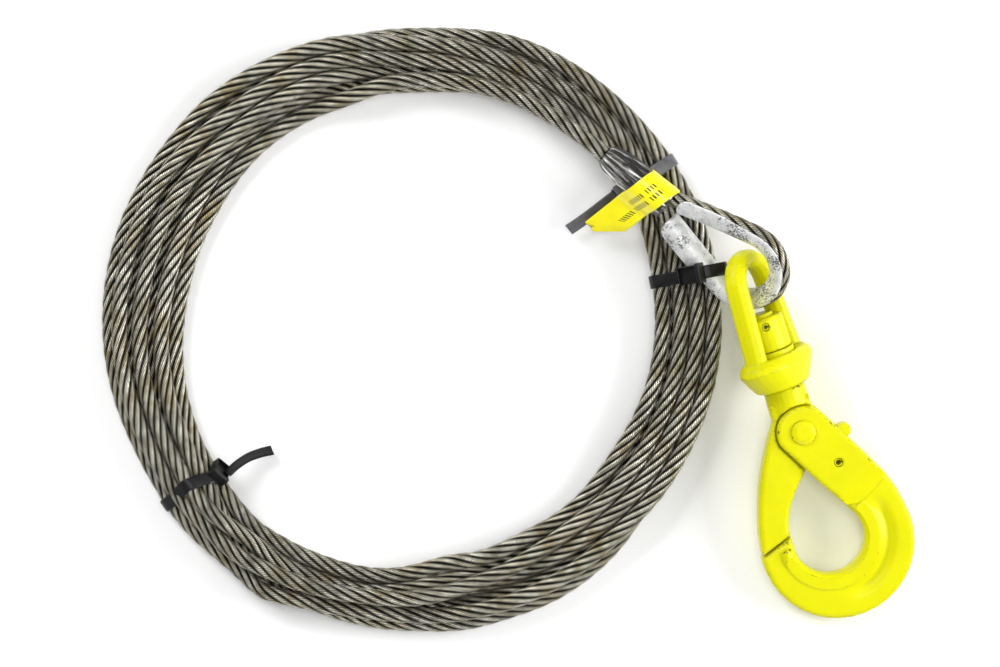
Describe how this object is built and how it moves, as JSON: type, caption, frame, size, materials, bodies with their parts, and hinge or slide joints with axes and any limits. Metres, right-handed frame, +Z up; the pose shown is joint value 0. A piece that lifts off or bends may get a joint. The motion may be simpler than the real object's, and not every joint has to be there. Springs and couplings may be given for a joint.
{
  "type": "wire rope winch line with swivel hook",
  "caption": "Coiled steel wire rope tied for storage, with a swaged thimble eye that carries a painted swivel self-locking safety hook.",
  "frame": {"origin": "centre of the whole object's box on the surface it lies on", "axes": "+Z up from the coil's flat underside; +X from the coil towards the hook; +Y towards the swaged sleeve's side"},
  "size_m": [0.4678, 0.3486, 0.0592],
  "materials": {
    "wire_rope": "bright steel strands under dark lubricant",
    "galvanised_steel": "hot-dip galvanised, speckled",
    "swaged_steel": "oily steel with bright die marks",
    "label_film": "bright yellow film",
    "black_nylon": "black moulded nylon, semi-gloss",
    "hook_paint": "lime yellow powder coat with dark wear",
    "bearing_steel": "ground steel",
    "spring_steel": "oiled spring wire"
  },
  "bodies": {
    "sling": {"rope_coil": "wire_rope", "rope_lead": "wire_rope", "rope_eye": "wire_rope", "rope_splice": "wire_rope", "thimble": "galvanised_steel", "swage_sleeve": "swaged_steel", "inspection_label": "label_film", "cable_tie_lower": "black_nylon", "cable_tie_right": "black_nylon", "cable_tie_upper": "black_nylon"},
    "bail": {"bail": "hook_paint", "bearing_lower_race": "bearing_steel"},
    "ball_ring": {"bearing_ball_ring": "bearing_steel"},
    "shank": {"gate_shank": "hook_paint", "swivel_nut": "hook_paint", "nut_pin": "hook_paint", "bearing_upper_race": "hook_paint"},
    "hook_body": {"hook_body": "hook_paint", "load_pin": "hook_paint", "trigger_pin": "hook_paint", "trigger_spring": "spring_steel"},
    "trigger": {"trigger": "hook_paint"}
  },
  "joints": [
    {"name": "bail_swing", "type": "hinge", "parent": "sling", "child": "bail", "pos_m": [0.13473, 0.03585, 0.0384], "axis": [-0.399, -0.4336, 0.8079], "range_deg": [-5, 90]},
    {"name": "swivel", "type": "hinge", "parent": "bail", "child": "shank", "pos_m": [0.15043, -0.01257, 0.02854], "axis": [-0.3064, 0.9431, 0.1288], "continuous": true},
    {"name": "ball_ring_turn", "type": "hinge", "parent": "bail", "child": "ball_ring", "pos_m": [0.15043, -0.01257, 0.02854], "axis": [-0.3064, 0.9431, 0.1288], "continuous": true},
    {"name": "hook_open", "type": "hinge", "parent": "shank", "child": "hook_body", "pos_m": [0.16813, -0.05895, 0.0221], "axis": [0.0398, -0.1225, 0.9917], "range_deg": [0, 35]},
    {"name": "trigger_press", "type": "hinge", "parent": "hook_body", "child": "trigger", "pos_m": [0.18849, -0.07632, 0.01914], "axis": [-0.0398, 0.1225, -0.9917], "range_deg": [0, 15], "stiffness_Nm_per_rad": 0.2, "springref_deg": -8.59}
  ],
  "couplings": [
    {"joint": "ball_ring_turn", "follows": "swivel", "ratio": 0.5}
  ]
}
